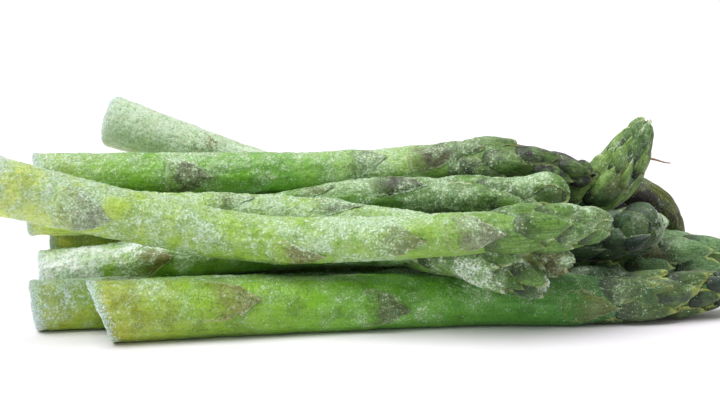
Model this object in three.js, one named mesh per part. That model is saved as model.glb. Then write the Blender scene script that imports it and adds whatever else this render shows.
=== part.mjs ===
// A bundle of frozen asparagus: a dozen spears in a loose heap, all with their tips the same way.
//
// Units are millimetres. +Z is up and +X runs from the cut butts to the tips. The front of the heap
// is towards -Y. The origin lies on the surface under the heap, at the middle of its bounding box.
//
// A spear is one stalk, grown in one piece from its cut butt to its budded head, and the scale leaves
// that clasp it. A stalk is a lathed profile, bent along a smooth route; a scale leaf is a thin box,
// narrowed to a point and wrapped round the stalk.
import * as THREE from "three";

// Stalks.
const SIDES = 12; // facets round a stalk
const STEM_RINGS = 12;
const HEAD_RINGS = 8;
const HEAD_PEAK = 0.35; // where a head is thickest, as a share of its length
const TIP_ROUNDNESS = 2.2; // the power of the curve from there to the tip: 2 is an ellipse
const TAPER = 0.8; // the power of the stem's taper: under 1, most of it is near the butt
const BUTT_EDGE = 0.8; // the width of the worn edge round the cut
const CUT_FADE = 16; // how far up the stalk a slanted cut shifts the rings

// Scale leaves.
const LEAF_STEPS = 4; // facets along and across a leaf
const LEAF_GAP = 0.45; // from the stalk to the leaf's inner face
const LEAF_THICKNESS = 0.7;
const LEAF_POINT = 0.06; // the width of a leaf's point, as a share of its base
const LEAF_SHOULDER = 1.5; // the power of a leaf's outline: 1 is a triangle, more is a fuller one

const STALK_MATERIAL = new THREE.MeshStandardMaterial({ color: 0x7fa546, roughness: 0.75 });
const LEAF_MATERIAL = new THREE.MeshStandardMaterial({ color: 0x6f7a55, roughness: 0.85 });

// The spears, front to back and bottom to top.
//   butt    the centre of the cut end
//   route   where the stalk goes from there, as offsets from the butt; the last one is the tip
//   radii   at the butt, at the neck below the head, and at the head's thickest place
//   head    the head's length
//   cut     the slope of the cut, and the side of the stalk that it leaves longest
//   leaves  each leaf's distance from the butt, the side it sits on, its length and half its spread
// Sides are angles round the stalk in degrees: 0 is the top, 90 the front and 180 the underside.
const SPEARS = [
  {
    // Lies along the front of the heap.
    butt: [-62, -6.5, 7.2],
    route: [[47.5, 10, -0.6], [89, 17, -1], [126.5, 19.5, -1.4], [159, 29.5, -0.4]],
    radii: [7.6, 6.3, 6.0],
    head: 42,
    cut: [0.42, 0],
    leaves: [[24, 62, 14, 46], [63, 92, 12, 40], [114, 92, 13, 40], [132, 60, 15, 50]],
  },
  {
    // Lies on top at the front, with its butt in the air.
    butt: [-87, -5.5, 37.5],
    route: [[29.5, 6.5, -8], [60.5, 10, -14.5], [89.5, 6, -14], [118, 2, -11.5], [148.5, 14.5, -12]],
    radii: [6.9, 5.0, 5.6],
    head: 34,
    cut: [0.1, 90],
    leaves: [[16, 95, 13, 56], [70, 130, 12, 44], [93, 85, 14, 56], [112, 80, 12, 52]],
  },
  {
    // The ridge of the heap.
    butt: [-84, 36, 33],
    route: [[42, 7, -0.6], [84, 11.5, -0.5], [115.5, 4.5, 3], [144, 1, 0]],
    radii: [5.8, 5.4, 5.9],
    head: 44,
    cut: [0.15, 0],
    leaves: [[34, 90, 12, 52], [81, 50, 12, 54], [100, 50, 15, 52], [119, 330, 14, 50]],
  },
  {
    // Leans on the back of the heap, with its tip on the surface.
    butt: [-69.5, 66, 44],
    route: [[25.5, -0.5, -9], [49, -0.5, -17], [86.5, 1.5, -29.5], [124, -1.5, -40.5]],
    radii: [6.9, 5.0, 5.2],
    head: 36,
    cut: [0.12, 40],
    leaves: [[24, 60, 10, 44], [52, 290, 13, 50], [78, 20, 13, 50], [98, 280, 13, 54]],
  },
  {
    // Inside the heap under the ridge, with its head at the front.
    butt: [-80.5, 51.5, 27.5],
    route: [[42, -7.5, -6.8], [85.5, -16.5, 0.5], [113.5, -21, 1], [132.5, -28, 3]],
    radii: [5.6, 4.6, 5.2],
    head: 34,
    cut: [0.1, 180],
    leaves: [[30, 120, 12, 46], [66, 35, 12, 30], [88, 40, 13, 46], [106, 80, 14, 52]],
  },
  {
    // Behind the top front spear, with its head over the first one.
    butt: [-83, 26, 25.3],
    route: [[37, 1.5, -0.7], [67.5, 2, -1.4], [100.5, -6.5, -4.2], [135, -21, -9.3]],
    radii: [5.7, 4.8, 4.6],
    head: 34,
    cut: [0.2, 120],
    leaves: [[20, 60, 12, 46], [44, 30, 12, 44], [72, 20, 12, 44], [110, 12, 13, 38]],
  },
  {
    // The second along the surface.
    butt: [-80, 4.5, 6],
    route: [[35.5, 7.2, -0.4], [75, 14.3, -0.6], [110.5, 21.7, -0.8], [152, 27, -0.6]],
    radii: [6.4, 5.4, 5.4],
    head: 40,
    cut: [0.16, 20],
    leaves: [[18, 25, 12, 40], [56, 265, 12, 42], [88, 20, 12, 44], [114, 275, 14, 46]],
  },
  {
    // Lies on the second one, and drops its head over the first.
    butt: [-81.5, 23, 9.5],
    route: [[41, -2, 5.5], [81.5, -8, 9.5], [103.5, -16.5, 9.5], [115.5, -20.5, 6], [127, -20.5, 0.5]],
    radii: [6.0, 4.8, 5.6],
    head: 38,
    cut: [0.25, 250],
    leaves: [[24, 75, 12, 44], [60, 50, 12, 46], [80, 60, 12, 46], [106, 130, 13, 38]],
  },
  {
    // Under the middle of the heap, with its head turned to the front.
    butt: [-79.5, 34.5, 15.5],
    route: [[38, -1, -1], [90, 0.5, -1], [138.5, -0.4, 1.8], [150, -5.0, 4.8], [154, -12.0, 6.8]],
    radii: [5.6, 5.0, 6.6],
    head: 36,
    cut: [0.12, 0],
    leaves: [[22, 290, 12, 44], [62, 100, 12, 44], [92, 60, 12, 46], [122, 50, 14, 50]],
  },
  {
    // At the back, with its head turned up.
    butt: [-68, 60, 18.5],
    route: [[46.5, -6, 0], [92, -10.5, 6], [126, -16, 7], [135.8, -18, 15.5], [142.3, -21, 28.5]],
    radii: [6.2, 4.8, 6.3],
    head: 34,
    cut: [0.1, 300],
    leaves: [[26, 290, 12, 46], [60, 290, 12, 46], [99, 325, 13, 46], [132, 110, 13, 46]],
  },
  {
    // The third along the surface.
    butt: [-64.5, 42.5, 5.8],
    route: [[43.5, 0.5, -0.3], [88.5, 1.5, 1.4], [128, 3.5, 4.5], [164, 0.5, 4.4]],
    radii: [6.2, 5.2, 6.4],
    head: 42,
    cut: [0.18, 180],
    leaves: [[28, 332, 12, 34], [66, 262, 12, 42], [104, 120, 12, 38], [133, 80, 15, 50]],
  },
  {
    // The fourth along the surface, with its head arching over the back.
    butt: [-68, 55.4, 5.8],
    route: [[43.5, 0.5, 0.4], [90, 1.5, 9.7], [139, 1.1, 18.8], [148.5, -0.4, 14.6], [153.5, -1.9, 5.6]],
    radii: [6.2, 4.8, 5.2],
    head: 34,
    cut: [0.1, 0],
    leaves: [[30, 280, 12, 44], [62, 260, 12, 44], [104, 290, 13, 48], [130, 60, 14, 52]],
  },
];

const UP = new THREE.Vector3(0, 0, 1);
const radians = THREE.MathUtils.degToRad;

// The stalk's radius at a distance from the butt.
function radiusAt(spear, along) {
  const [butt, neck, head] = spear.radii;
  const stem = spear.length - spear.head;
  if (along < stem) return butt + (neck - butt) * Math.max(0, along / stem) ** TAPER;
  const share = (along - stem) / spear.head;
  if (share < HEAD_PEAK) {
    return neck + (head - neck) * Math.sin((share / HEAD_PEAK) * (Math.PI / 2));
  }
  const fall = Math.min(1, (share - HEAD_PEAK) / (1 - HEAD_PEAK));
  return head * Math.sqrt(1 - fall ** TIP_ROUNDNESS);
}

// The point at a distance from the butt, on a side of the stalk and at a radius from its centreline.
function pointOn(spear, along, side, radius) {
  const on = THREE.MathUtils.clamp(along, 0, spear.length);
  const tangent = spear.curve.getTangentAt(on / spear.length);
  const front = new THREE.Vector3().crossVectors(tangent, UP).normalize();
  const top = new THREE.Vector3().crossVectors(front, tangent);
  return spear.curve
    .getPointAt(on / spear.length)
    .addScaledVector(tangent, along - on)
    .addScaledVector(top, radius * Math.cos(side))
    .addScaledVector(front, radius * Math.sin(side));
}

// Moves each vertex of a geometry to the place that a function gives for it.
function reshape(geometry, place) {
  const position = geometry.getAttribute("position");
  const vertex = new THREE.Vector3();
  for (let i = 0; i < position.count; i++) {
    vertex.fromBufferAttribute(position, i);
    position.setXYZ(i, ...place(vertex).toArray());
  }
  geometry.computeVertexNormals();
  return geometry;
}

// The distances from the butt at which a stalk has a ring of vertices.
function ringsOf(spear) {
  const stem = spear.length - spear.head;
  const rings = [BUTT_EDGE];
  for (let i = 1; i <= STEM_RINGS; i++) rings.push((stem * i) / STEM_RINGS);
  for (let i = 1; i < HEAD_RINGS; i++) {
    rings.push(stem + spear.head * Math.sin((i / HEAD_RINGS) * (Math.PI / 2)));
  }
  return rings;
}

function stalkGeometry(spear) {
  const profile = [
    new THREE.Vector2(0, 0),
    new THREE.Vector2(spear.radii[0] - BUTT_EDGE, 0),
    ...ringsOf(spear).map((along) => new THREE.Vector2(radiusAt(spear, along), along)),
    new THREE.Vector2(0, spear.length),
  ];
  const [slope, longest] = spear.cut;
  // Half a facet's turn puts a flat side, and not a corner, underneath.
  return reshape(new THREE.LatheGeometry(profile, SIDES, Math.PI / SIDES), ({ x, y, z }) => {
    const radius = Math.hypot(x, z);
    const side = Math.atan2(x, z);
    const slant = slope * radius * Math.cos(side - radians(longest)) * Math.max(0, 1 - y / CUT_FADE);
    const point = pointOn(spear, y - slant, side, radius);
    point.z = Math.max(point.z, -spear.butt[2]); // pressed flat where it lies on the surface
    return point;
  });
}

function leafGeometry(spear, [start, side, length, spread]) {
  const box = new THREE.BoxGeometry(1, 2, 1, LEAF_STEPS, LEAF_STEPS, 1);
  return reshape(box, ({ x, y, z }) => {
    const share = x + 0.5;
    const width = LEAF_POINT + (1 - LEAF_POINT) * (1 - share ** LEAF_SHOULDER);
    const along = start + length * share;
    const radius = radiusAt(spear, along) + LEAF_GAP + LEAF_THICKNESS * (z + 0.5);
    return pointOn(spear, along, radians(side - y * spread * width), radius);
  });
}

function named(name, geometry, material) {
  const mesh = new THREE.Mesh(geometry, material);
  mesh.name = name;
  return mesh;
}

function spearGroup(spec, index) {
  const offsets = [[0, 0, 0], ...spec.route].map((offset) => new THREE.Vector3(...offset));
  const curve = new THREE.CatmullRomCurve3(offsets);
  const spear = { ...spec, curve, length: curve.getLength() };
  const label = `spear_${String(index + 1).padStart(2, "0")}`;
  const group = new THREE.Group();
  group.position.set(...spec.butt);
  group.add(named(`${label}_stalk`, stalkGeometry(spear), STALK_MATERIAL));
  spec.leaves.forEach((leaf, i) => {
    group.add(named(`${label}_scale_leaf_${i + 1}`, leafGeometry(spear, leaf), LEAF_MATERIAL));
  });
  return group;
}

const bundle = new THREE.Group();
bundle.add(...SPEARS.map(spearGroup));

// Moves the heap so that the origin is under the middle of it.
const box = new THREE.Box3().setFromObject(bundle, true);
const middle = box.getCenter(new THREE.Vector3());
bundle.position.set(-middle.x, -middle.y, -box.min.z);

export default bundle;
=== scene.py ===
"""The looks of a bundle of frozen green asparagus: budded heads, papery scale leaves and white frost.

Each spear is read back from its CAD solid as a centreline and a radius, and is rebuilt on them at
full detail. A point of a spear is given by its distance along the centreline, its side (an angle
round the stalk: 0 is the top, 90 degrees the front) and its distance from the centreline.
Lengths are in millimetres until a mesh is made; Blender's are in metres.
"""
import math

import bpy
import numpy as np
from mathutils import Matrix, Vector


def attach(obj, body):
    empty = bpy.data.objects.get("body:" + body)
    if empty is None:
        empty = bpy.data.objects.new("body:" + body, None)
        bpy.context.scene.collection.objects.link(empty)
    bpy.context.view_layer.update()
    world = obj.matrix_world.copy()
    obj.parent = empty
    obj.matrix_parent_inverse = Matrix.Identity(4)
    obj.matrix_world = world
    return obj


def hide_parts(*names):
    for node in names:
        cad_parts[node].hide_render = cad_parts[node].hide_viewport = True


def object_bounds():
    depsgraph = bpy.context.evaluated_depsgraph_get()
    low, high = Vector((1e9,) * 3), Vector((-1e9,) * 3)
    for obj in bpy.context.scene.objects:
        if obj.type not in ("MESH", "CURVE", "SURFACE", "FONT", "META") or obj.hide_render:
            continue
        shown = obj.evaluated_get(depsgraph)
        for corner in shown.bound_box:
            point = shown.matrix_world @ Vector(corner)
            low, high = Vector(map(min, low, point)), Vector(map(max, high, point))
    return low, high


MM = 0.001
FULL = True
GRID = 0.32 if FULL else 0.5  # spacing of a stalk's vertices

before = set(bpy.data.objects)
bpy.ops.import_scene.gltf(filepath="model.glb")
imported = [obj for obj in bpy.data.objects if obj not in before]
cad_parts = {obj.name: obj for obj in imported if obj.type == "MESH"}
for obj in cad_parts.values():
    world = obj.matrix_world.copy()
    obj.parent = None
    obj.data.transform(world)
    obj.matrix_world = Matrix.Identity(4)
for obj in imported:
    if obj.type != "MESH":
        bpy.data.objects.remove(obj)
CAD_BOX = [[float(x) for x in corner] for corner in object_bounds()]
CENTRE = (np.array(CAD_BOX[0]) + np.array(CAD_BOX[1])) / 2


# ---------------------------------------------------------------- noise
def lattice(ix, iy, iz, seed):
    """A repeatable random number from 0 to 1 at each lattice point."""
    h = (ix * 374761393 + iy * 668265263 + iz * 2147483647 + seed * 1274126177) & 0xFFFFFFFF
    h = ((h ^ (h >> 13)) * 1103515245) & 0xFFFFFFFF
    h = ((h ^ (h >> 16)) * 2246822519) & 0xFFFFFFFF
    return ((h ^ (h >> 13)) & 0xFFFFFF) / float(0xFFFFFF)


def noise(points, size, seed=0):
    """Smooth noise from -1 to 1, with features of about the given size."""
    p = points / size
    cell = np.floor(p).astype(np.int64)
    f = p - cell
    f = f * f * f * (f * (f * 6 - 15) + 10)
    total = 0.0
    for dx in (0, 1):
        wx = f[..., 0] if dx else 1 - f[..., 0]
        for dy in (0, 1):
            wy = f[..., 1] if dy else 1 - f[..., 1]
            for dz in (0, 1):
                wz = f[..., 2] if dz else 1 - f[..., 2]
                corner = lattice(cell[..., 0] + dx, cell[..., 1] + dy, cell[..., 2] + dz, seed)
                total = total + wx * wy * wz * corner
    return total * 2 - 1


def smooth(low, high, x):
    """A soft step: 0 at low and 1 at high, whichever of them is the greater."""
    t = np.clip((x - low) / (high - low), 0, 1)
    return t * t * (3 - 2 * t)


# ---------------------------------------------------------------- the spears' lines
HEAD_RINGS = 8  # a CAD stalk's rings from its neck to its tip
LEAVES = (1, 2, 3, 4)  # the numbers of each spear's CAD scale leaves, up the stem


def welded(node):
    """A CAD node's vertices in millimetres, each place once, and its triangles on them."""
    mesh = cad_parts[node].data
    co = np.array([v.co for v in mesh.vertices]) / MM
    _, first, index = np.unique(np.round(co, 3), axis=0, return_index=True, return_inverse=True)
    index = index.reshape(-1)
    mesh.calc_loop_triangles()
    faces = np.array([index[list(t.vertices)] for t in mesh.loop_triangles])
    return co[first], faces


def rings_from_tip(co, faces):
    """The rings of a lathed solid, from its pole at the tip to its pole at the butt."""
    links = [set() for _ in co]
    for a, b, c in faces:
        links[a] |= {b, c}
        links[b] |= {a, c}
        links[c] |= {a, b}
    poles = [i for i, l in enumerate(links) if all(len(links[j] & l) == 2 for j in l)]
    poles = [i for i in poles if len(links[i]) >= 10]
    pole = max(poles, key=lambda i: co[i, 0])
    rings, seen = [[pole]], {pole}
    while rings[-1]:
        ring = sorted({j for i in rings[-1] for j in links[i]} - seen)
        seen |= set(ring)
        rings.append(ring)
    return [co[r] for r in rings[:-1]]


class Spear:
    """A spear's centreline, radius and cut, read from its CAD stalk."""

    def __init__(self, number):
        self.number = number
        self.label = f"spear_{number:02d}"
        self.rng = np.random.default_rng(1000 + number)
        rings = rings_from_tip(*welded(self.label + "_stalk"))[::-1]
        edge, rings = rings[2], rings[1:2] + rings[3:]  # without the pole and the cut's outer edge
        centres = np.array([r.mean(0) for r in rings])
        step = np.linalg.norm(np.diff(centres, axis=0), axis=1)
        self.at = np.r_[0, np.cumsum(step)]
        self.length = self.at[-1]
        self.centres = centres
        self.slopes = self.spline_slopes()
        radii = []
        for s, ring, c in zip(self.at, rings, centres):
            t = self.frame_at(np.array([s]))[1][0]
            d = ring - c
            radii.append(np.linalg.norm(d - np.outer(d @ t, t), axis=1).mean())
        self.radii = np.array(radii)
        self.cut = self.read_cut(edge)
        self.head_at = self.at[-1 - HEAD_RINGS]
        self.dome = 0.0
        self.taper = 0.0
        self.leaves = [self.leaf(k) for k in LEAVES]

    def spline_slopes(self):
        """The slopes of the natural cubic spline through the centres."""
        n = len(self.at)
        h = np.diff(self.at)
        a = np.zeros((n, n))
        b = np.zeros((n, 3))
        chord = np.diff(self.centres, axis=0) / h[:, None]
        a[0, :2] = 2, 1
        b[0] = 3 * chord[0]
        a[-1, -2:] = 1, 2
        b[-1] = 3 * chord[-1]
        for i in range(1, n - 1):
            a[i, i - 1 : i + 2] = h[i], 2 * (h[i - 1] + h[i]), h[i - 1]
            b[i] = 3 * (h[i] * chord[i - 1] + h[i - 1] * chord[i])
        return np.linalg.solve(a, b)

    def frame_at(self, s):
        """The centreline's points at distances s, and its tangent, top and front directions."""
        on = np.clip(s, 0, self.length)
        i = np.clip(np.searchsorted(self.at, on, side="right") - 1, 0, len(self.at) - 2)
        h = (self.at[i + 1] - self.at[i])[:, None]
        t = (on[:, None] - self.at[i][:, None]) / h
        p0, p1, m0, m1 = self.centres[i], self.centres[i + 1], self.slopes[i] * h, self.slopes[i + 1] * h
        point = (
            (2 * t**3 - 3 * t**2 + 1) * p0
            + (t**3 - 2 * t**2 + t) * m0
            + (-2 * t**3 + 3 * t**2) * p1
            + (t**3 - t**2) * m1
        )
        tangent = (
            (6 * t**2 - 6 * t) * (p0 - p1) / h
            + (3 * t**2 - 4 * t + 1) * m0 / h
            + (3 * t**2 - 2 * t) * m1 / h
        )
        tangent /= np.linalg.norm(tangent, axis=1)[:, None]
        front = np.cross(tangent, [0, 0, 1])
        front /= np.linalg.norm(front, axis=1)[:, None]
        top = np.cross(front, tangent)
        return point + tangent * (s - on)[:, None], tangent, top, front

    def read_cut(self, edge):
        """How far the cut leans along the stalk, per millimetre towards the top and the front."""
        _, tangent, top, front = (x[0] for x in self.frame_at(np.array([0.0])))
        d = edge - edge.mean(0)
        across = np.stack([d @ top, d @ front], axis=1)
        self.radii[0] = np.linalg.norm(across, axis=1).mean()
        lean, *_ = np.linalg.lstsq(across, d @ tangent, rcond=None)
        return -lean

    def radius(self, s):
        """The spear's radius. A dome rounds off the tip like a ball; a taper draws it out thinner."""
        r = np.interp(s, self.at, self.radii)
        back = self.length - s
        if self.taper:
            r = r * (1 - TAPER_SHARE * smooth(self.taper, 0, back))
        if self.dome:
            near = np.clip(back, 0, self.dome)
            ball = np.sqrt(near * (2 * self.dome - near))
            r = np.maximum(r, r + (ball - r) * smooth(DOME_FADE * self.dome, self.dome, back))
        return r

    def place(self, s, side, out):
        """The place of points at distances s, on sides, and at distances out from the centreline."""
        point, _, top, front = self.frame_at(np.ravel(s))
        side, out = np.ravel(side), np.ravel(out)
        p = point + top * (out * np.cos(side))[:, None] + front * (out * np.sin(side))[:, None]
        return p.reshape(np.shape(s) + (3,))

    def leaf(self, k):
        """Where a CAD scale leaf is: its start and length, its side and half its spread."""
        co, _ = welded(f"{self.label}_scale_leaf_{k}")
        fine = np.linspace(0, self.length, 400)
        point, _, top, front = self.frame_at(fine)
        near = np.argmin(((co[:, None] - point[None]) ** 2).sum(2), axis=1)
        d = co - point[near]
        side = np.arctan2((d * front[near]).sum(1), (d * top[near]).sum(1))
        s = fine[near]
        base = s < s.min() + 1.2
        middle = np.angle(np.exp(1j * side[base]).mean())
        spread = np.abs(np.angle(np.exp(1j * (side[base] - middle)))).max()
        return s.min(), s.max() - s.min(), middle, spread


# ---------------------------------------------------------------- meshes
def make_object(name, vertices, faces, attributes, materials, face_materials, soft=True):
    """A mesh object from vertices in millimetres, and faces of three or four of them.

    A face of three among faces of four ends in -1. Attributes are named arrays, one row a vertex.
    """
    mesh = bpy.data.meshes.new(name)
    co = np.asarray(vertices, np.float32) * MM
    faces = np.asarray(faces, np.int32)
    mesh.vertices.add(len(co))
    mesh.vertices.foreach_set("co", co.ravel())
    sizes = (faces >= 0).sum(1)
    corners = faces[faces >= 0]
    mesh.loops.add(len(corners))
    mesh.loops.foreach_set("vertex_index", corners)
    mesh.polygons.add(len(faces))
    mesh.polygons.foreach_set("loop_start", np.r_[0, np.cumsum(sizes)[:-1]].astype(np.int32))
    mesh.polygons.foreach_set("loop_total", sizes.astype(np.int32))
    mesh.polygons.foreach_set("use_smooth", np.full(len(faces), soft))
    mesh.polygons.foreach_set("material_index", np.asarray(face_materials, np.int32))
    for key, values in attributes.items():
        values = np.asarray(values, np.float32)
        vector = values.ndim == 2
        layer = mesh.attributes.new(key, "FLOAT_VECTOR" if vector else "FLOAT", "POINT")
        layer.data.foreach_set("vector" if vector else "value", values.ravel())
    for material in materials:
        mesh.materials.append(material)
    mesh.update(calc_edges=True)
    mesh.validate()
    obj = bpy.data.objects.new(name, mesh)
    bpy.context.scene.collection.objects.link(obj)
    return obj


def tube_faces(rows, columns):
    """The quads of a tube: rings of vertices, one ring a row."""
    r, c = np.meshgrid(np.arange(rows - 1), np.arange(columns), indexing="ij")
    a = r * columns + c
    b = r * columns + (c + 1) % columns
    return np.stack([a + columns, b + columns, b, a], axis=-1).reshape(-1, 4)


def capped_faces(rows, columns):
    """The faces of a tube whose first and last rings are closed by two further vertices."""
    j = np.arange(columns)
    next_j = (j + 1) % columns
    heart = np.full(columns, rows * columns)
    none = np.full(columns, -1)
    last = (rows - 1) * columns
    first = np.stack([heart, next_j, j, none], axis=1)
    end = np.stack([heart + 1, last + j, last + next_j, none], axis=1)
    return np.concatenate([tube_faces(rows, columns), first, end])


class Build:
    """Gathers the parts of one object: vertices, faces and vertex attributes."""

    KEYS = ("along", "frost", "edge", "reach", "tone", "fibre")

    def __init__(self):
        self.vertices, self.faces, self.kinds = [], [], []
        self.attributes = {key: [] for key in self.KEYS}
        self.count = 0

    def add(self, vertices, faces, kind=0, **attributes):
        n = len(vertices)
        faces = np.asarray(faces)
        self.vertices.append(vertices)
        self.faces.append(np.where(faces < 0, -1, faces + self.count))
        self.kinds.append(np.full(len(faces), kind))
        for key in self.KEYS:
            width = (n, 3) if key == "fibre" else (n,)
            value = attributes.get(key, 0.0)
            self.attributes[key].append(np.broadcast_to(value, width))
        self.count += n

    def finish(self, name, materials):
        attributes = {key: np.concatenate(value) for key, value in self.attributes.items()}
        return make_object(
            name,
            np.concatenate(self.vertices),
            np.concatenate(self.faces),
            attributes,
            materials,
            np.concatenate(self.kinds),
        )


def straight(s, side, out):
    """The place a point would have if the spear were straight: what fibres and frost follow."""
    return np.stack([s, out * np.cos(side), out * np.sin(side)], axis=-1)


# ---------------------------------------------------------------- shapes
GOLDEN = math.radians(137.5)  # the turn from one scale of a head to the next
CUT_FADE = 16.0  # how far up the stalk the slant of its cut is felt
HEART = 0.83  # the radius of a head under its scales, as a share of the spear's
DOME_FADE = 2.6  # where a dome begins to swell, in domes back from the tip
TAPER_SHARE = 0.32  # how much of its radius a drawn-out tip loses
FROST_STOPS = (0, 0.12, 0.4, 0.7, 0.85, 1.0)  # where along a spear a look's frost levels apply


def head_bracts(spear, look):
    """The overlapping scales of a head, from the tip down: start, length, side, half-width, lift."""
    rng = np.random.default_rng(50 + spear.number)
    head = spear.length - spear.head_at
    count = look.get("bracts", 18)
    slim = look.get("slim", 1.0)
    least = look.get("least", 3.0)
    past = look.get("past", 0.7)
    bracts = []
    for k in range(count):
        share = (k + 0.5) / count
        back = least + (head * 1.06 - least) * share**1.3
        length = min(max(5.0 + 9.5 * share**0.8, least), back + past) * rng.uniform(0.92, 1.12)
        if spear.dome and k == 0:
            length = back + past
        side = k * GOLDEN + rng.uniform(-0.15, 0.15)
        width = (0.33 * length + 0.9) * rng.uniform(0.88, 1.12) * slim
        bracts.append((spear.length - back, length, side, width, rng.uniform(0.85, 1.2)))
    return bracts


def bract_tone(spear, look, start, side):
    """How much of the dark colour a scale has: more at the tip, or, if the look says, underneath."""
    back = (spear.length - start) / (spear.length - spear.head_at)
    tone = 0.62 * spear.rng.uniform(0, 1) + 0.40 * smooth(0.55, 0.15, back)
    underneath = min(1.0, 1.3 - 1.15 * math.cos(side))
    return tone + look.get("inside", 0.0) * (underneath - tone)


def around(side, middle):
    """The angle from middle to side, from -pi to pi."""
    return (side - middle + np.pi) % (2 * np.pi) - np.pi


def skin(spear, s, side):
    """How far a spear's skin is from its centreline, with a bud under each of its scales."""
    r = spear.radius(s)
    head = smooth(spear.head_at - 5, spear.head_at + 8, s)
    q = straight(s, side, r) + spear.number * 37.0
    fibre = q * np.array([0.07, 1.0, 1.0])
    out = r * (1 - (1 - HEART) * head)
    out = out * (1 + 0.035 * noise(q * np.array([0.25, 1, 1]), 9.0, 3))  # not quite round
    out = out + (1 - head) * (0.13 * noise(fibre, 1.5, 5) + 0.07 * noise(fibre, 0.8, 6))  # ribs
    out = out + 0.20 * noise(q, 8.0, 7) + 0.09 * noise(q, 3.0, 8)  # dents
    for start, length, middle, spread in spear.leaves:
        ring = np.exp(-(((s - start) / 2.2) ** 2))
        bud = np.exp(-(((s - start - 0.35 * length) / (0.32 * length)) ** 2))
        bud = bud * np.exp(-((around(side, middle) / (0.55 * spread)) ** 2))
        out = out + (0.12 * ring + 0.42 * bud)
    for start, length, middle, width, lift in spear.bracts:
        wide = np.maximum(r, 1.2)
        bud = np.exp(-(((s - start - 0.45 * length) / (0.30 * length)) ** 2))
        bud = bud * np.exp(-((around(side, middle) * wide / (0.62 * width)) ** 2))
        out = out + 0.10 * r * bud * lift
    return np.minimum(out, np.maximum(r * 1.08, r + 0.35))


def frost_at(spear, place, s, up, look):
    """How much frost lies at a place, from 0 to 1: in drifts, on what faces up, and at the cut."""
    drift = 0.55 * noise(place, 11.0, 21) + 0.45 * noise(place, 4.5, 22) + 0.3 * noise(place, 1.8, 23)
    cut = np.exp(-np.maximum(s, 0) / 1.3)
    level = np.interp(s / spear.length, FROST_STOPS, look["frost"])
    level = level + 0.85 * drift * (0.13 + 1.1 * level) + 0.16 * up * (0.3 + 2 * level)
    if "rimed" in look:
        away = place - spear.place(np.array(spear.length - spear.dome), 0.0, 0.0)
        x_side = smooth(0.2, 1.0, away[..., 0] / np.linalg.norm(away, axis=-1))
        level = level + look["rimed"] * x_side * smooth(15, 11, spear.length - s)
    return np.clip(level + 0.75 * cut, 0, 1)


def frost_grain(place):
    """The height of the frost's grains."""
    return 0.15 * noise(place, 1.1, 31) + 0.13 * noise(place, 0.62, 32)


def upness(spear, s, side):
    """How much the skin faces up: 1 if straight up, and -1 if straight down."""
    _, _, top, front = spear.frame_at(np.ravel(s))
    return (top[:, 2] * np.cos(np.ravel(side)) + front[:, 2] * np.sin(np.ravel(side))).reshape(s.shape)


def settle(p):
    """Keeps points on or above the surface that the heap lies on."""
    p[..., 2] = np.maximum(p[..., 2], 0.02)
    return p


def add_core(build, spear, look):
    """The stalk and the heart of its head: one closed skin, from the middle of the cut to the tip."""
    rim = spear.radii.max()
    columns = int(2 * np.pi * rim / GRID)
    side = np.linspace(0, 2 * np.pi, columns, endpoint=False)
    worn = look.get("worn", 0.8)  # the radius of the butt's rounded edge
    turn = np.radians(np.linspace(0, 90, max(5, int(1.5 * worn / GRID))))
    edge_share = 1 - worn / rim * (1 - np.sin(turn))
    face = np.arange(0.06, edge_share[0], GRID / rim)
    body = np.arange(worn + GRID, spear.length - 0.35, GRID)
    # Rings of vertices: on the cut's face, round its worn edge, and up the body.
    s = np.r_[np.zeros(len(face)), worn * (1 - np.cos(turn)), body]
    share = np.r_[face, edge_share, np.ones(len(body))]
    on_cut = np.r_[np.ones(len(face)), smooth(70, 20, np.degrees(turn)), np.zeros(len(body))]
    s2, a2 = np.meshgrid(s, side, indexing="ij")
    out = skin(spear, s2, a2) * share[:, None]
    place = straight(s2, a2, out)
    up = upness(spear, s2, a2)
    world = spear.place(s2, a2, out)
    frost = frost_at(spear, world, s2, up, look)
    grit = look.get("grit", 1.0) * (1 - 0.9 * on_cut[:, None])
    out = out + (0.30 + frost) * frost_grain(world) * grit
    fade = np.clip(1 - s2 / CUT_FADE, 0, 1)
    lean = spear.cut[0] * out * np.cos(a2) + spear.cut[1] * out * np.sin(a2)
    rough = on_cut[:, None] * (0.28 * noise(place, 2.2, 41) + 0.14 * noise(place, 0.8, 42))
    dish = on_cut[:, None] * 0.5 * (1 - share[:, None] ** 2)
    p = spear.place(s2 - lean * fade + dish + rough, a2, out)
    ends = spear.place(np.array([0.5, spear.length - 0.1]), np.zeros(2), np.zeros(2))

    def flat(values, at_heart, at_tip):
        return np.r_[np.broadcast_to(values, s2.shape).ravel(), at_heart, at_tip]

    place = place.reshape(-1, 3)
    build.add(
        np.concatenate([settle(p).reshape(-1, 3), ends]),
        capped_faces(len(s), columns),
        0,
        along=flat(s2 / spear.length, 0, 1),
        frost=flat(frost, 0.4, 0.6),
        edge=flat(on_cut[:, None], 1, 0),
        tone=flat(0.5 + 0.5 * noise(world, 16.0, 51), 0.5, 0.5),
        fibre=np.concatenate([place, [[0.5, 0, 0], [spear.length, 0, 0]]]),
    )


WIDEST = 0.28  # how far up a scale is widest


def lay(spear, s, angle, rise, hug):
    """Where a scale's points lie, risen off the stalk or the head; over a dome they follow the ball."""
    if hug:
        return spear.place(s, angle, skin(spear, s, angle) + rise)
    out = HEART * np.maximum(spear.radius(np.minimum(s, spear.length)), 0.35) + rise
    if not spear.dome:
        return spear.place(s, angle, out)
    foot = spear.length - spear.dome
    turn = np.minimum((spear.length - s) / spear.dome, 1) * np.pi / 2
    out = np.where(s > foot, (HEART * spear.dome + rise) * np.sin(turn), out)
    s = np.where(s > foot, foot + (spear.dome + rise) * np.cos(turn), s)
    return spear.place(s, angle, out)


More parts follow.
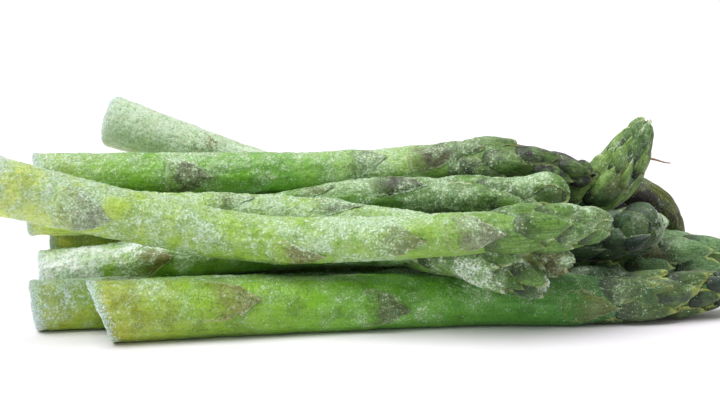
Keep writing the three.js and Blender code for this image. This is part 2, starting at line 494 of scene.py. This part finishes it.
def blade_width(shape, u, length, seed):
    """A scale's width at u, as a share of its greatest, with a ragged edge."""
    ragged = noise(np.stack([u * length, 0 * u, 0 * u], axis=1), 1.3, int(seed) % 9999)
    below = np.clip(u / WIDEST, 0, 1)
    beyond = np.clip((u - WIDEST) / (1 - WIDEST), 0, 1)
    wide = np.where(u < WIDEST, 0.86 + 0.14 * np.sin(below * np.pi / 2), 1 - beyond ** shape["point"])
    return np.maximum(wide * (1 + shape["ragged"] * ragged), 0.035)


def blade_rise(shape, u, v, lift, curl):
    """How far a scale stands off what it clasps: it bulges, and it may curl away at its point."""
    bulge = np.sin(np.clip(u, 0, 1) * np.pi) ** 0.8 * (1 - v**2)
    rise = shape["base"] + lift * (shape["rise"] * u + shape["bulge"] * bulge)
    rise = rise * (1 - shape["hollow"] * v**2) + 0.10 * (1 - np.abs(v)) ** 3
    return rise + shape["curl"] * curl * smooth(0.72, 1, u)


def blade_faces(rows, columns):
    """The faces of a closed blade. Each of its rows goes over its top and back along its underside."""
    count = 2 * columns
    j = np.arange(columns - 1)
    cap = np.stack([j, j + 1, count - 2 - j, count - 1 - j], axis=1)
    last = (rows - 1) * count
    return np.concatenate([tube_faces(rows, count), cap, last + cap[:, ::-1]])


def add_bract(build, spear, look, start, length, middle, width, lift, shape, tone):
    """A scale that clasps the stalk: a thin curved blade, widest near its base, with a ragged edge.

    Its u runs from its root to its point, and its v from one edge to the other.
    """
    rows, columns = shape["rows"], shape["columns"]
    u = np.linspace(0, 1, rows) ** 0.9
    v = np.sin(np.linspace(-np.pi / 2, np.pi / 2, columns))
    seed = spear.rng.integers(1 << 30)
    bend = spear.rng.uniform(-0.12, 0.12)
    curl = spear.rng.uniform(0.2, 1)
    wide = blade_width(shape, u, length, seed)
    u2, v2 = np.meshgrid(u, v, indexing="ij")
    s2 = start + length * u2 - shape["cup"] * (1 - v2**2) * (1 - u2) + 0.04 * length * v2 * u2
    r = np.maximum(spear.radius(np.minimum(s2, spear.length)), 0.35)
    angle = middle + (width * wide[:, None] * v2) / np.maximum(r, 1.4) + bend * u2**2
    vein = 0.035 * np.sin(v2 * 17 + seed % 7) * (1 - v2**2)
    crinkle = noise(straight(s2, angle, r) + seed % 97, 2.4, 61) * 0.10 * (0.4 + u2)
    thick = shape["thick"] * (1 - 0.65 * np.abs(v2)) * (1 - 0.6 * u2) + 0.05
    thick = thick * smooth(-0.05, shape["root"], u2)
    inner = blade_rise(shape, u2, v2, lift, curl) + vein + crinkle
    place = lay(spear, s2, angle, inner + thick, shape["hug"])
    up = upness(spear, s2, angle)
    frost = frost_at(spear, place, s2, up, look)
    rim = np.maximum(smooth(shape["border"], 1.0, np.abs(v2)), smooth(shape["border"] + 0.1, 1.0, u2))
    frost = np.clip(frost * (1 - shape["bare"]) + 0.22 * rim * (0.5 + frost), 0, 1)
    outer = inner + thick + (0.2 + 0.7 * frost) * frost_grain(place)
    top_side = lay(spear, s2, angle, outer, shape["hug"])
    under = lay(spear, s2, angle, inner - 0.02, shape["hug"])
    around_blade = np.concatenate([top_side, under[:, ::-1]], axis=1)
    fibre = straight(s2, angle, r + outer)

    def twin(values):
        return np.concatenate([values, values[:, ::-1]], axis=1)

    build.add(
        settle(around_blade).reshape(-1, 3),
        blade_faces(rows, columns),
        shape["kind"],
        along=twin(s2 / spear.length).ravel(),
        frost=twin(frost).ravel(),
        edge=twin(rim).ravel(),
        reach=twin(u2).ravel(),
        tone=tone,
        fibre=twin(fibre).reshape(-1, 3),
    )


# The shape of a head's scale, and of a stem's scale leaf. point: how blunt it is. ragged: its edge.
# cup: how far its root wraps back. thick: its thickness. hug: whether it follows the skin. base,
# rise, bulge, hollow and curl: how it stands off. root: over which share of it the root thins out.
# border: where its dry edge begins. bare: how much less frost it has. kind: which of its object's
# materials it takes.
BRACT = {
    "rows": 20, "columns": 15, "point": 1.9, "ragged": 0.12, "cup": 0.8, "hug": False, "root": 0.0,
    "base": 0.05, "rise": 0.80, "bulge": 0.85, "hollow": 0.78, "curl": 0.35, "thick": 0.35, "kind": 1,
    "bare": 0.0, "border": 0.72,
}
LEAF = {
    "rows": 34, "columns": 25, "point": 1.35, "ragged": 0.16, "cup": 0.9, "hug": True, "root": 0.12,
    "base": 0.00, "rise": 0.20, "bulge": 0.16, "hollow": 0.5, "curl": 0.45, "thick": 0.26, "kind": 0,
    "bare": 0.15, "border": 0.72,
}


def add_sprig(build, spear, back, side, length, radius):
    """A thin dry stem that sticks out sideways from a head, thinner towards its end."""
    rows, sides = 9, 6
    u = np.linspace(0, 1, rows)
    foot, tangent, top, front = (x[0] for x in spear.frame_at(np.array([spear.length - back])))
    out = top * math.cos(side) + front * math.sin(side) + 0.42 * tangent
    root = 0.6 * spear.radius(spear.length - back)
    line = foot + out * (root + length * u)[:, None]
    line[:, 2] += 0.05 * length * np.sin(u * 5)
    turn = np.linspace(0, 2 * np.pi, sides, endpoint=False)
    thick = radius * (1 - 0.65 * u)[:, None, None]
    away = np.cross(out, [0, 1, 0])
    away /= np.linalg.norm(away)
    across = np.cross(out, away)
    ring = away * np.cos(turn)[:, None] + across * np.sin(turn)[:, None]
    p = line[:, None] + thick * ring
    ends = np.array([[0, k, k + 1, -1] for k in range(1, sides - 1)])
    far = np.where(ends < 0, -1, ends + (rows - 1) * sides)[:, [0, 2, 1, 3]]
    faces = np.concatenate([tube_faces(rows, sides), ends, far])
    place = p.reshape(-1, 3)
    build.add(place, faces, 2, along=1.0, frost=0.0, edge=0.5, reach=1.0, tone=0.5, fibre=place)


CRYSTALS = 9000 if FULL else 4000  # on each spear
GRAIN, SPIKE, DASH, CRUST, RIME = range(5)
# Each kind of ice: its least and greatest length, half-width and steepness (1 stands upright).
ICE_LENGTH = ((0.16, 0.34), (0.30, 0.60), (0.60, 1.30), (0.45, 1.10), (0.30, 0.65))
ICE_WIDTH = ((0.08, 0.17), (0.05, 0.10), (0.06, 0.11), (0.14, 0.30), (0.12, 0.24))
ICE_RISE = ((0.1, 1.0), (0.5, 1.0), (0.02, 0.2), (0.7, 1.0), (0.3, 1.0))


def surface(build):
    """A build's faces: their corners, their mean frost, edge and along, and whether each is skin."""
    vertices = np.concatenate(build.vertices)
    faces = np.concatenate(build.faces)
    faces = np.where(faces < 0, faces[:, :1], faces)
    means = [np.concatenate(build.attributes[key])[faces].mean(1) for key in ("frost", "edge", "along")]
    return vertices[faces], *means, np.concatenate(build.kinds) == 0


def ice_spots(builds, spear, look, rng):
    """Where the ice stands: its kind, its foot, and the way out of the surface there.

    Grains and spikes stand where the frost is thick, and dashes anywhere. Crust grows on the cut and
    rime round its edge.
    """
    surfaces = [surface(build) for build in builds]
    corner, frost, edge, along, skin_face = (np.concatenate(x) for x in zip(*surfaces))
    along = along * spear.length
    cut = (edge > 0.5) & skin_face & (along < 2)
    normal = np.cross(corner[:, 2] - corner[:, 0], corner[:, 3] - corner[:, 1])
    area = np.linalg.norm(normal, axis=1)
    normal /= np.maximum(area, 1e-9)[:, None]
    area = area * (corner[:, :, 2].min(1) > 0.5)
    grown = area * (1.4 * np.clip(frost - 0.13, 0, 1) ** 1.4 + 0.012) * ~cut
    shares = (
        (GRAIN, 0.48, grown),
        (SPIKE, 0.27, grown),
        (DASH, look.get("dashes", 0.03), area * ~cut),
        (CRUST, 0.10, area * cut),
        (RIME, 0.14, area * ~cut * (along < 12) * np.exp(-along / 0.8)),
    )
    kind, face = [], []
    for which, share, weight in shares:
        n = int(CRYSTALS * share)
        kind.append(np.full(n, which))
        face.append(rng.choice(len(weight), n, p=weight / weight.sum()))
    kind, face = np.concatenate(kind), np.concatenate(face)
    u, v = rng.uniform(0, 1, (2, len(face), 1))
    a, b, c, d = corner[face].transpose(1, 0, 2)
    foot = (1 - v) * ((1 - u) * a + u * b) + v * ((1 - u) * d + u * c)
    return kind, foot - 0.04 * normal[face], normal[face]


def crystals(builds, spear, look):
    """Ice on a spear: each piece is a thin three-sided pyramid with its foot on the skin.

    Gives their vertices, their faces, and which of the faces are crust or rime.
    """
    rng = np.random.default_rng(9000 + spear.number)
    kind, foot, normal = ice_spots(builds, spear, look, rng)
    n = len(kind)
    along = np.cross(normal, [0.31, 0.53, 0.79])
    along /= np.linalg.norm(along, axis=1)[:, None]
    across = np.cross(normal, along)
    spin = rng.uniform(0, 2 * np.pi, n)[:, None]
    rise = rng.uniform(*np.array(ICE_RISE)[kind].T)[:, None]
    a = (along * np.cos(spin) + across * np.sin(spin)) * np.sqrt(1 - rise**2) + normal * rise
    b = np.cross(a, [0.79, 0.31, 0.53])
    b /= np.linalg.norm(b, axis=1)[:, None]
    c = np.cross(a, b)
    length = rng.uniform(*np.array(ICE_LENGTH)[kind].T)[:, None]
    width = rng.uniform(*np.array(ICE_WIDTH)[kind].T)[:, None]
    corners = [foot + a * length]
    for turn in np.radians([0, 120, 240]):
        corners.append(foot + (b * np.cos(turn) + c * np.sin(turn)) * width)
    vertices = settle(np.stack(corners, axis=1)).reshape(-1, 3)
    pyramid = [(0, 1, 2), (0, 2, 3), (0, 3, 1), (3, 2, 1)]
    faces = (np.array(pyramid)[None] + 4 * np.arange(n)[:, None, None]).reshape(-1, 3)
    return vertices, faces, np.repeat(kind >= CRUST, len(pyramid))


# ---------------------------------------------------------------- materials
def srgb(colour):
    """A colour as it looks, from 0 to 255, as the linear colour that a shader takes."""
    c = np.array(colour, float) / 255
    return tuple(np.where(c <= 0.04045, c / 12.92, ((c + 0.055) / 1.055) ** 2.4)) + (1.0,)


class Nodes:
    """A short way to write a material's nodes."""

    def __init__(self, name):
        self.material = bpy.data.materials.new(name)
        self.material.use_nodes = True
        self.tree = self.material.node_tree
        self.shader = self.tree.nodes["Principled BSDF"]

    def join(self, value, socket):
        """Links a socket to another, or sets its value."""
        if isinstance(value, bpy.types.NodeSocket):
            self.tree.links.new(value, socket)
        elif value is not None:
            socket.default_value = value

    def attribute(self, name, output="Fac"):
        node = self.tree.nodes.new("ShaderNodeAttribute")
        node.attribute_name = name
        return node.outputs[output]

    def place(self):
        """A point's coordinates in millimetres."""
        node = self.tree.nodes.new("ShaderNodeTexCoord")
        return self.scale(node.outputs["Object"], (1000, 1000, 1000))

    def scale(self, vector, by):
        node = self.tree.nodes.new("ShaderNodeVectorMath")
        node.operation = "MULTIPLY"
        self.join(vector, node.inputs[0])
        node.inputs[1].default_value = by
        return node.outputs[0]

    def noise(self, vector, size, detail=2.0, rough=0.5, distortion=0.0):
        node = self.tree.nodes.new("ShaderNodeTexNoise")
        self.join(vector, node.inputs["Vector"])
        node.inputs["Scale"].default_value = 1 / size
        node.inputs["Detail"].default_value = detail
        node.inputs["Roughness"].default_value = rough
        node.inputs["Distortion"].default_value = distortion
        return node.outputs["Fac"]

    def cells(self, vector, size):
        node = self.tree.nodes.new("ShaderNodeTexVoronoi")
        self.join(vector, node.inputs["Vector"])
        node.inputs["Scale"].default_value = 1 / size
        return node.outputs["Distance"]

    def math(self, operation, a, b=None, c=None):
        node = self.tree.nodes.new("ShaderNodeMath")
        node.operation = operation
        for value, socket in zip((a, b, c), node.inputs):
            self.join(value, socket)
        return node.outputs[0]

    def span(self, value, low, high, out_low=0.0, out_high=1.0):
        """A soft step from out_low at low to out_high at high."""
        node = self.tree.nodes.new("ShaderNodeMapRange")
        node.interpolation_type = "SMOOTHSTEP"
        keys = ("Value", "From Min", "From Max", "To Min", "To Max")
        for key, v in zip(keys, (value, low, high, out_low, out_high)):
            self.join(v, node.inputs[key])
        return node.outputs["Result"]

    def ramp(self, value, stops):
        node = self.tree.nodes.new("ShaderNodeValToRGB")
        elements = node.color_ramp.elements
        while len(elements) < len(stops):
            elements.new(0.5)
        for element, (at, colour) in zip(elements, stops):
            element.position = at
            element.color = srgb(colour)
        self.join(value, node.inputs["Fac"])
        return node.outputs["Color"]

    def mix(self, share, a, b, blend="MIX"):
        node = self.tree.nodes.new("ShaderNodeMix")
        node.data_type = "RGBA"
        node.blend_type = blend
        self.join(share, node.inputs[0])
        for value, socket in ((a, node.inputs[6]), (b, node.inputs[7])):
            self.join(srgb(value) if isinstance(value, tuple) and len(value) == 3 else value, socket)
        return node.outputs[2]

    def bump(self, height, strength, distance, normal=None):
        node = self.tree.nodes.new("ShaderNodeBump")
        node.inputs["Strength"].default_value = strength
        node.inputs["Distance"].default_value = distance * MM
        self.join(height, node.inputs["Height"])
        if normal is not None:
            self.join(normal, node.inputs["Normal"])
        return node.outputs["Normal"]

    def finish(self, colour, roughness, normal, **uniform):
        """Joins the shader, and sets its uniform inputs, which have spaces for underscores."""
        self.join(colour, self.shader.inputs["Base Color"])
        self.join(roughness, self.shader.inputs["Roughness"])
        self.join(normal, self.shader.inputs["Normal"])
        for key, value in uniform.items():
            self.shader.inputs[key.replace("_", " ")].default_value = value
        return self.material


FROST_VEIL = (176, 204, 152)
FROST_SHADE = (176, 202, 162)
FROST_LIGHT = (220, 240, 214)


def frosted(n, colour, tint, veil, pit_shade):
    """Lays frost on a colour: a thin veil in patches, painted shade in the low places of its grain, and
    pale grains.

    Gives the colour, how much the frost covers, and its grain.
    """
    place = n.place()
    fine = n.noise(place, 0.55, 1.5, 0.6)
    coarse = n.noise(place, 1.4, 2.0, 0.6, 0.5)
    patch = n.noise(place, 5.0, 4.0, 0.6, 0.4)
    frost = n.attribute("frost")
    drift = n.math("MULTIPLY", n.math("SUBTRACT", patch, 0.5), n.math("MULTIPLY_ADD", frost, 1.6, 0.55))
    amount = n.math("ADD", frost, drift)
    grain = n.math("MULTIPLY_ADD", fine, 0.62, n.math("MULTIPLY", coarse, 0.38))
    colour = n.mix(n.span(amount, 0.05, 0.95, 0.0, 0.85), colour, veil)
    # painted shade: the colour is darkened in the low places of the frost's grain
    pit_shaded = n.mix(1.0, colour, pit_shade, "MULTIPLY")
    colour = n.mix(n.span(grain, 0.36, 0.50, 0.75, 0.0), colour, pit_shaded)
    level = n.math("SUBTRACT", grain, n.math("MULTIPLY_ADD", amount, -0.20, 0.60))
    cover = n.math("MULTIPLY", n.span(level, 0.0, 0.13), n.span(amount, 0.0, 0.6, 0.34, 0.88))
    white = n.mix(n.span(fine, 0.45, 0.68), FROST_SHADE, FROST_LIGHT)
    if tint:
        white = n.mix(n.span(patch, 0.42, 0.58), white, tint)
    return n.mix(cover, colour, white), cover, grain


def skin_colour(n, palette):
    """The colour of bare skin, from the butt's to the tip's. Gives the colour and its streaks."""
    fibre = n.attribute("fibre", "Vector")
    streak = n.noise(n.scale(fibre, (0.06, 1.0, 1.0)), 1.1, 3.0, 0.6)
    mottle = n.noise(fibre, 6.0, 4.0, 0.62)
    wander = n.math("MULTIPLY_ADD", n.math("SUBTRACT", mottle, 0.5), 0.30, n.attribute("along"))
    colour = n.ramp(wander, list(zip((0.0, 0.14, 0.42, 0.66, 0.82, 0.97), palette)))
    deep = n.mix(1.0, colour, (176, 196, 120), "MULTIPLY")
    colour = n.mix(n.span(streak, 0.32, 0.62, 0.40, 0.0), colour, deep)
    colour = n.mix(n.span(mottle, 0.36, 0.52, 0.75, 0.0), colour, deep)
    pale = n.mix(1.0, colour, (64, 66, 20), "ADD")
    colour = n.mix(n.span(mottle, 0.52, 0.66, 0.0, 0.45), colour, pale)
    return colour, streak


def skin_material(name, palette, tint, veil):
    """Frozen asparagus skin under its frost; on the cut it is pith, with the ends of its fibres."""
    n = Nodes(name)
    colour, streak = skin_colour(n, palette)
    bundles = n.cells(n.scale(n.attribute("fibre", "Vector"), (0.2, 1.0, 1.0)), 1.5)
    pith = n.ramp(bundles, [(0.1, (124, 140, 72)), (0.45, (190, 200, 140))])
    colour = n.mix(n.attribute("edge"), colour, pith)
    # the last colour is the painted shade in the low places of the frost's grain
    colour, cover, grain = frosted(n, colour, tint, veil, (198, 208, 188))
    rough = n.span(cover, 0.0, 0.8, 0.42, 0.85)
    normal = n.bump(streak, 0.3, 0.3)
    normal = n.bump(grain, 0.8, 0.45, normal)
    return n.finish(colour, rough, normal, Subsurface_Weight=0.15, Subsurface_Scale=0.0012,
                    Coat_Weight=0.08, Coat_Roughness=0.35, Sheen_Weight=0.10, Sheen_Roughness=0.5)


def scale_material(name, palette, blade, dark, rim, share, start, tint, root_shade=0.0):
    """A papery scale: skin-coloured at its base, then veined and darker, and pale at its dry edge.

    share is how much of its own colour it has, and start how far up it that sets in. crease is how
    dark the painted shade is at the scale's root, where others lie over it; without it, a pale line marks
    the root.
    """
    n = Nodes(name)
    fibre = n.attribute("fibre", "Vector")
    base, _ = skin_colour(n, palette)
    vein = n.noise(n.scale(fibre, (0.05, 1.0, 1.0)), 0.6, 2.0, 0.6)
    blotch = n.noise(fibre, 2.6, 4.0, 0.65)
    wander = n.math("SUBTRACT", blotch, 0.5)
    tone = n.math("MULTIPLY_ADD", wander, 1.8, n.attribute("tone"))
    colour = n.mix(n.span(tone, 0.3, 0.9), blade, dark)
    deep = n.mix(1.0, colour, (150, 156, 120), "MULTIPLY")
    colour = n.mix(n.span(vein, 0.35, 0.65, 0.6, 0.0), colour, deep)
    pale = n.mix(1.0, colour, (64, 64, 40), "ADD")
    colour = n.mix(n.span(vein, 0.58, 0.8, 0.0, 0.45), colour, pale)
    own = n.math("MULTIPLY_ADD", wander, 0.9, n.attribute("reach"))
    colour = n.mix(n.span(own, start - 0.1, start + 0.45, 0.0, share), base, colour)
    worn = n.math("MULTIPLY_ADD", wander, 1.0, n.attribute("edge"))
    colour = n.mix(n.span(worn, 0.35, 1.0, 0.0, 0.85 * share**2), colour, rim)
    if root_shade:
        root = n.math("MULTIPLY_ADD", wander, 0.5, n.attribute("reach"))
        # painted shade: each scale is darkened at its root, where the scales above lie over it
        shade = n.mix(1.0, colour, (74, 84, 60), "MULTIPLY")
        colour = n.mix(n.span(root, 0.08, 0.46, root_shade, 0.0), colour, shade)
    else:
        root = n.math("MULTIPLY_ADD", wander, 0.16, n.attribute("reach"))
        colour = n.mix(n.span(root, 0.01, 0.10, 0.75 * share**4, 0.0), colour, rim)
    # the last colour is the painted shade in the low places of the frost's grain
    colour, cover, grain = frosted(n, colour, tint, FROST_VEIL, (158, 172, 146))
    rough = n.span(cover, 0.0, 0.8, 0.5, 0.88)
    normal = n.bump(vein, 0.4, 0.25)
    normal = n.bump(grain, 0.7, 0.4, normal)
    return n.finish(colour, rough, normal, Subsurface_Weight=0.12, Subsurface_Scale=0.0008,
                    Sheen_Weight=0.05, Sheen_Roughness=0.5)


def ice_material(name, shade, light):
    """Clouded ice."""
    n = Nodes(name)
    place = n.place()
    colour = n.ramp(n.noise(place, 1.2, 1.0), [(0.3, shade), (0.7, light)])
    normal = n.bump(n.noise(place, 0.12, 1.0), 0.3, 0.05)
    return n.finish(colour, 0.35, normal, Subsurface_Weight=0.35, Subsurface_Scale=0.0006)


# ---------------------------------------------------------------- the spears' looks
# The skin's colours, from the butt to the tip.
PALE = [(230, 240, 120), (198, 226, 92), (156, 198, 54), (150, 192, 68), (122, 166, 58), (112, 146, 68)]
FROSTED = [
    (200, 218, 150), (186, 210, 140), (176, 206, 130), (160, 196, 110), (126, 168, 66), (120, 152, 80),
]
FRESH = [(178, 184, 46), (146, 186, 30), (108, 176, 24), (82, 156, 38), (52, 98, 56), (76, 110, 50)]
# BRIGHT's pale butt colours are painted light: that butt lies in the shade of the spear over it
BRIGHT = [(236, 240, 104), (200, 222, 72), (132, 176, 50), (98, 148, 50), (62, 98, 56), (66, 92, 50)]
MIDDLE = [(190, 218, 116), (142, 196, 58), (118, 186, 44), (178, 214, 122), (106, 146, 58), (60, 74, 42)]
DEEP = [(176, 200, 96), (140, 178, 54), (112, 160, 44), (98, 148, 50), (76, 118, 46), (76, 108, 44)]
# A head's scales: their blade, its darker patches and their dry rim.
LEAFY = ((108, 154, 56), (66, 102, 48), (180, 192, 116))
BLUISH = ((62, 92, 56), (30, 54, 42), (118, 140, 92))
TEAL = ((122, 164, 104), (78, 118, 86), (206, 218, 126))
YELLOWISH = ((86, 114, 54), (34, 62, 52), (166, 178, 76))
MAUVE = ((104, 140, 66), (42, 40, 42), (140, 152, 96))
DUSKY = ((112, 120, 58), (50, 38, 44), (128, 120, 76))
RAGGED = ((132, 150, 54), (98, 92, 44), (204, 196, 136))
SHARP = ((140, 176, 86), (88, 128, 58), (206, 220, 158))
# A scale leaf: the same three, then how much of them it has and how far up it they set in.
PINK = ((150, 134, 84), (132, 104, 82), (180, 168, 124), 0.65, 0.15)
GREY = ((104, 98, 78), (58, 46, 46), (176, 178, 146), 0.95, -0.02)
PURPLE = ((136, 130, 118), (88, 76, 88), (184, 180, 160), 0.8, 0.1)
SLATE = ((150, 154, 150), (106, 104, 112), (192, 200, 190), 0.85, 0.0)
EDGED = ((112, 146, 70), (78, 106, 54), (208, 216, 166), 0.95, 0.2)
DUN = ((116, 116, 76), (78, 66, 58), (150, 156, 110), 0.75, 0.08)
OLIVE = ((122, 130, 68), (84, 78, 50), (160, 160, 92), 0.75, 0.12)
BROWN = ((128, 114, 64), (90, 66, 44), (196, 192, 140), 0.85, 0.08)
RUST = ((206, 150, 110), (176, 98, 76), (214, 182, 146), 0.95, -0.05)
# Tints of frost.
BLUE_ICE = (210, 228, 224)
SNOW = (238, 244, 240)

# palette, head and leaves: a spear's colours. frost: how thick it lies at each of FROST_STOPS. tint,
# veil and grit: the frost's colours and how coarse it is. dashes: the share of long splinters of
# ice. rimed: more frost on a dome's x side. worn: the radius of the butt's edge. bracts, least,
# past, slim and shape: how many scales the head has, the least length of one, how far one reaches
# past the tip, how wide they are, and what differs from BRACT. dome, taper and sprig: the head's
# tip. puff and inside: how much more the scales on the underside stand off and darken. crease:
# how dark the painted shade is at the scales' roots, where others lie over them.
LOOKS = {
    1: dict(palette=FRESH, head=YELLOWISH, leaves=(PINK, DUN, OLIVE, OLIVE), worn=0.5, dashes=0.08,
            least=7, shape=dict(border=0.5), frost=(0.28, 0.16, 0.17, 0.11, 0.04, 0.0)),
    2: dict(root_shade=0.8, palette=PALE, head=LEAFY, leaves=(SLATE, BROWN, OLIVE, PURPLE), least=9, bracts=15,
            frost=(0.36, 0.50, 0.38, 0.54, 0.12, 0.40)),
    3: dict(palette=MIDDLE, head=MAUVE, leaves=(GREY, PURPLE, GREY, OLIVE),
            frost=(0.50, 0.36, 0.30, 0.44, 0.14, 0.04)),
    4: dict(palette=FROSTED, head=LEAFY, leaves=(RUST, PURPLE, OLIVE, GREY), worn=2.6, grit=0.5,
            veil=(206, 226, 190), tint=(216, 234, 206), frost=(0.72, 0.78, 0.74, 0.50, 0.3, 0.3)),
    5: dict(palette=DEEP, head=LEAFY, leaves=(PURPLE, OLIVE, GREY, EDGED), dome=5.6, least=10, bracts=15,
            past=1.6, shape=dict(curl=0.0, rise=0.3, point=2.6), frost=(0.4, 0.4, 0.40, 0.46, 0.16, 0.46)),
    6: dict(palette=PALE, head=RAGGED, leaves=(PURPLE, OLIVE, GREY, OLIVE), least=6, bracts=15,
            shape=dict(ragged=0.3, point=3.0), frost=(0.6, 0.6, 0.70, 0.60, 0.30, 0.26)),
    7: dict(palette=FRESH, head=BLUISH, leaves=(GREY, PURPLE, OLIVE, OLIVE), worn=1.4, tint=BLUE_ICE,
            frost=(0.76, 0.36, 0.3, 0.2, 0.2, 0.2)),
    8: dict(palette=DEEP, head=LEAFY, leaves=(BROWN, OLIVE, GREY, GREY), worn=1.4, tint=SNOW,
            veil=(202, 218, 196), least=6, frost=(1.0, 0.96, 0.2, 0.26, 0.66, 0.30)),
    # spear 9: its pale butt colours paint light on a butt that lies in shade
    9: dict(palette=BRIGHT, head=BLUISH, leaves=(GREY, OLIVE, PURPLE, OLIVE), dome=6.8, least=8, bracts=18,
            past=1.8, rimed=0.45, shape=dict(curl=0.0, rise=0.3, point=2.6),
            frost=(0.3, 0.3, 0.2, 0.2, 0.0, 0.0)),
    10: dict(root_shade=0.97, palette=FRESH, head=SHARP, leaves=(PURPLE, GREY, OLIVE, OLIVE), slim=0.72,
             bracts=26, least=5, past=2.6, taper=12.0, sprig=(11.5, -2.6, 7.6, 0.40),
             shape=dict(point=1.35, curl=0.3), frost=(0.3, 0.2, 0.2, 0.15, 0.14, 0.14)),
    11: dict(palette=DEEP, head=TEAL, leaves=(GREY, OLIVE, PURPLE, OLIVE), least=13, bracts=11,
             slim=1.15, frost=(0.3, 0.2, 0.2, 0.15, 0.06, 0.10)),
    12: dict(palette=DEEP, head=DUSKY, leaves=(PURPLE, OLIVE, GREY, GREY), inside=0.9, puff=1.2,
             least=8, shape=dict(curl=0.0), frost=(0.3, 0.2, 0.2, 0.15, 0.02, 0.02)),
}
ICE_LOOKS = (
    ice_material("ice_crystals", (172, 202, 166), (214, 238, 210)),
    ice_material("rime", (222, 232, 224), (246, 250, 247)),
)


def make_stalk(spear, look):
    """A stalk with its budded head."""
    palette, tint = look["palette"], look.get("tint")
    skin_look = skin_material(f"skin_{spear.number:02d}", palette, tint, look.get("veil", FROST_VEIL))
    head_name = f"head_scales_{spear.number:02d}"
    # how dark the painted shade is at the roots of the head's scales
    root_shade = look.get("root_shade", 0.85)
    head_look = scale_material(head_name, palette, *look["head"], 1.0, -0.1, tint, root_shade)
    materials = [skin_look, head_look]
    shape = {**BRACT, **look.get("shape", {})}
    build = Build()
    add_core(build, spear, look)
    for start, length, middle, width, lift in spear.bracts:
        tone = bract_tone(spear, look, start, middle)
        lift = lift * (1 + look.get("puff", 0.0) * (0.5 - 0.5 * math.cos(middle)))
        add_bract(build, spear, look, start, length, middle, width, lift, shape, tone)
    if "sprig" in look:
        add_sprig(build, spear, *look["sprig"])
        materials.append(scale_material("dry_sprig", palette, *RUST, None))
    stalk = build.finish(f"{spear.label}_stalk_skin", materials)
    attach(stalk, "root")
    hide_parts(f"{spear.label}_stalk")
    return build


def make_scale_leaf(spear, look, k):
    """A stem's k-th scale leaf."""
    start, length, middle, spread = spear.leaves[k - 1]
    width = spread * spear.radius(start)
    tone = spear.rng.uniform(0, 1)
    build = Build()
    add_bract(build, spear, look, start, length, middle, width, 1.0, LEAF, tone)
    name = f"{spear.label}_scale_{k}"
    leaf_look = scale_material(name, look["palette"], *look["leaves"][k - 1], look.get("tint"))
    leaf = build.finish(name, [leaf_look])
    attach(leaf, "root")
    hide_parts(f"{spear.label}_scale_leaf_{k}")
    return build


def make_frost(spear, look, builds):
    """The ice that stands on a spear."""
    vertices, faces, on_rim = crystals(builds, spear, look)
    frost = make_object(f"{spear.label}_frost", vertices, faces, {}, ICE_LOOKS, on_rim, soft=False)
    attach(frost, "root")


for number, look in LOOKS.items():
    spear = Spear(number)
    spear.dome = look.get("dome", 0.0)
    spear.taper = look.get("taper", 0.0)
    spear.bracts = head_bracts(spear, look)
    builds = [make_stalk(spear, look)]
    builds += [make_scale_leaf(spear, look, k) for k in LEAVES]
    make_frost(spear, look, builds)


# ---------------------------------------------------------------- floor, light and camera
def stage():
    """A plain white floor."""
    bpy.ops.mesh.primitive_plane_add(size=6.0, location=(0, 1.5, -0.0001))
    floor = bpy.context.object
    floor.name = "floor"
    n = Nodes("floor_white")
    tint = n.ramp(n.noise(n.place(), 300.0, 1.0), [(0.4, (244, 240, 246)), (0.6, (246, 242, 248))])
    floor.data.materials.append(n.finish(tint, 0.9, None))


def area(name, place, target, size, power):
    """A soft lamp of the given size."""
    light = bpy.data.lights.new(name, "AREA")
    light.shape = "RECTANGLE"
    light.size, light.size_y = size
    light.energy = power
    obj = bpy.data.objects.new(name, light)
    bpy.context.scene.collection.objects.link(obj)
    aim(obj, place, target)


def aim(obj, place, target):
    """Puts an object at a place and points it at a target, level."""
    place, target = np.array(place, float), np.array(target, float)
    back = place - target
    back /= np.linalg.norm(back)
    right = np.cross([0, 0, 1], back)
    right /= np.linalg.norm(right)
    up = np.cross(back, right)
    m = np.eye(4)
    m[:3, 0], m[:3, 1], m[:3, 2], m[:3, 3] = right, up, back, place
    obj.matrix_world = Matrix(m.tolist())


def lights():
    """A world that the camera sees as white, a wide soft sun and a lamp behind the heap."""
    world = bpy.data.worlds.new("studio")
    bpy.context.scene.world = world
    world.use_nodes = True
    background = world.node_tree.nodes["Background"]
    background.inputs["Color"].default_value = (1, 1, 1, 1)
    path = world.node_tree.nodes.new("ShaderNodeLightPath")
    strength = world.node_tree.nodes.new("ShaderNodeMapRange")
    strength.inputs["To Min"].default_value = 0.40
    strength.inputs["To Max"].default_value = 1.0
    world.node_tree.links.new(path.outputs["Is Camera Ray"], strength.inputs["Value"])
    world.node_tree.links.new(strength.outputs["Result"], background.inputs["Strength"])
    sun = bpy.data.lights.new("softbox_overhead", "SUN")
    sun.energy = 2.85
    sun.angle = math.radians(50)
    obj = bpy.data.objects.new("softbox_overhead", sun)
    bpy.context.scene.collection.objects.link(obj)
    aim(obj, (-0.40, -0.20, 1.0), (0, 0, 0))
    area("softbox_back", (0.30, 0.60, 0.50), (0, 0, 0.02), (0.5, 0.4), 0.8)


ELEVATION = math.radians(10.0)
DISTANCE = 0.450
TARGET = np.array([CENTRE[0] - 0.0054, CENTRE[1] - 0.0099, 0.029])


def camera():
    """A long lens, a little above the heap, that looks along y."""
    data = bpy.data.cameras.new("camera")
    data.sensor_width = 36.0
    data.lens = 90.0
    data.clip_start = 0.01
    data.dof.use_dof = False
    obj = bpy.data.objects.new("camera", data)
    bpy.context.scene.collection.objects.link(obj)
    back = np.array([0, -math.cos(ELEVATION), math.sin(ELEVATION)])
    aim(obj, TARGET + DISTANCE * back, TARGET)
    bpy.context.scene.camera = obj


stage()
lights()
camera()
bpy.context.scene.view_settings.view_transform = "Standard"
bpy.context.scene.view_settings.look = "None"
